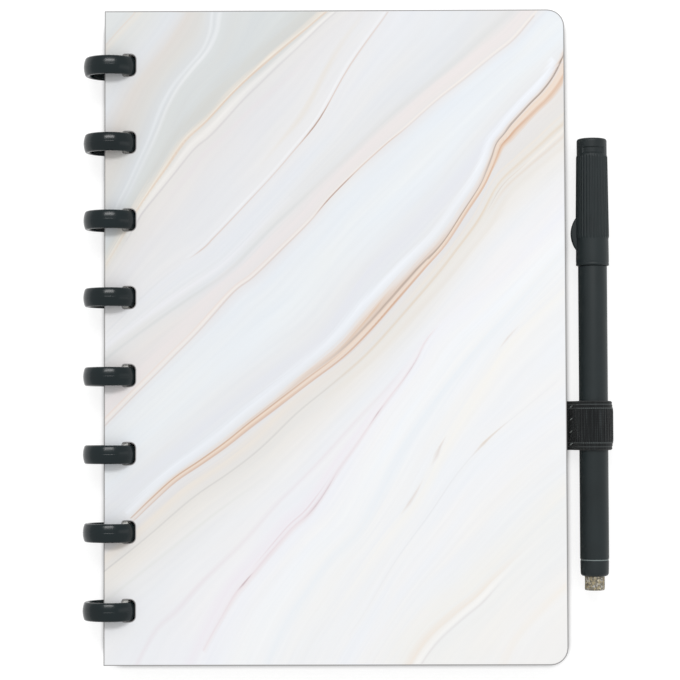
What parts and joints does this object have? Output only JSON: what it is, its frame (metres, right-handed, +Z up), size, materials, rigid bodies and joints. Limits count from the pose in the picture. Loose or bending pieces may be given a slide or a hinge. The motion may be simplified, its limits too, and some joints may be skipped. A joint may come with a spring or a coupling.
{
  "type": "disc-bound erasable planner with pen",
  "caption": "Erasable planner: marble-patterned covers and a block of sheets on binding discs, with a capped pen in an elastic loop.",
  "frame": {"origin": "middle of the outline in plan, on the table", "axes": "+X from the spine to the pen, +Y up the page along the spine, +Z up out of the front cover"},
  "size_m": [0.1706, 0.21, 0.0175],
  "materials": {
    "board": "satin laminated board",
    "print": "printed film, satin",
    "paper": "smooth coated paper",
    "disc_plastic": "glossy black",
    "elastic": "woven elastic",
    "pen_plastic": "satin charcoal",
    "nib": "porous fibre",
    "reservoir": "bonded fibre",
    "felt": "speckled felt"
  },
  "bodies": {
    "pages": {"pages": "paper"},
    "front_cover": {"front_cover": "board", "cover_print": "print"},
    "back_cover": {"back_cover": "board", "pen_loop": "elastic"},
    "disc_1": {"disc_1": "disc_plastic"},
    "disc_2": {"disc_2": "disc_plastic"},
    "disc_3": {"disc_3": "disc_plastic"},
    "disc_4": {"disc_4": "disc_plastic"},
    "disc_5": {"disc_5": "disc_plastic"},
    "disc_6": {"disc_6": "disc_plastic"},
    "disc_7": {"disc_7": "disc_plastic"},
    "disc_8": {"disc_8": "disc_plastic"},
    "pen": {"pen_barrel": "pen_plastic", "pen_section": "pen_plastic", "pen_nib": "nib", "ink_reservoir": "reservoir", "tail_plug": "pen_plastic", "eraser": "felt"},
    "cap": {"pen_cap": "pen_plastic"}
  },
  "joints": [
    {"name": "front_cover_hinge", "type": "hinge", "parent": "pages", "child": "front_cover", "pos_m": [-0.0766, 0, 0.00875], "axis": [0, -1, 0], "range_deg": [0, 180]},
    {"name": "back_cover_hinge", "type": "hinge", "parent": "pages", "child": "back_cover", "pos_m": [-0.0766, 0, 0.00875], "axis": [0, 1, 0], "range_deg": [0, 180]},
    {"name": "disc_1_spin", "type": "hinge", "parent": "pages", "child": "disc_1", "pos_m": [-0.0766, 0.0872, 0.00875], "axis": [0, 1, 0], "continuous": true},
    {"name": "disc_2_spin", "type": "hinge", "parent": "pages", "child": "disc_2", "pos_m": [-0.0766, 0.06241, 0.00875], "axis": [0, 1, 0], "continuous": true},
    {"name": "disc_3_spin", "type": "hinge", "parent": "pages", "child": "disc_3", "pos_m": [-0.0766, 0.0375, 0.00875], "axis": [0, 1, 0], "continuous": true},
    {"name": "disc_4_spin", "type": "hinge", "parent": "pages", "child": "disc_4", "pos_m": [-0.0766, 0.01259, 0.00875], "axis": [0, 1, 0], "continuous": true},
    {"name": "disc_5_spin", "type": "hinge", "parent": "pages", "child": "disc_5", "pos_m": [-0.0766, -0.0128, 0.00875], "axis": [0, 1, 0], "continuous": true},
    {"name": "disc_6_spin", "type": "hinge", "parent": "pages", "child": "disc_6", "pos_m": [-0.0766, -0.0378, 0.00875], "axis": [0, 1, 0], "continuous": true},
    {"name": "disc_7_spin", "type": "hinge", "parent": "pages", "child": "disc_7", "pos_m": [-0.0766, -0.0628, 0.00875], "axis": [0, 1, 0], "continuous": true},
    {"name": "disc_8_spin", "type": "hinge", "parent": "pages", "child": "disc_8", "pos_m": [-0.0766, -0.0878, 0.00875], "axis": [0, 1, 0], "continuous": true},
    {"name": "pen_slide", "type": "slide", "parent": "back_cover", "child": "pen", "axis": [0, 1, 0], "range_m": [-0.042, 0.066]},
    {"name": "cap_pull", "type": "slide", "parent": "pen", "child": "cap", "axis": [0, 1, 0], "range_m": [0, 0.045]}
  ]
}
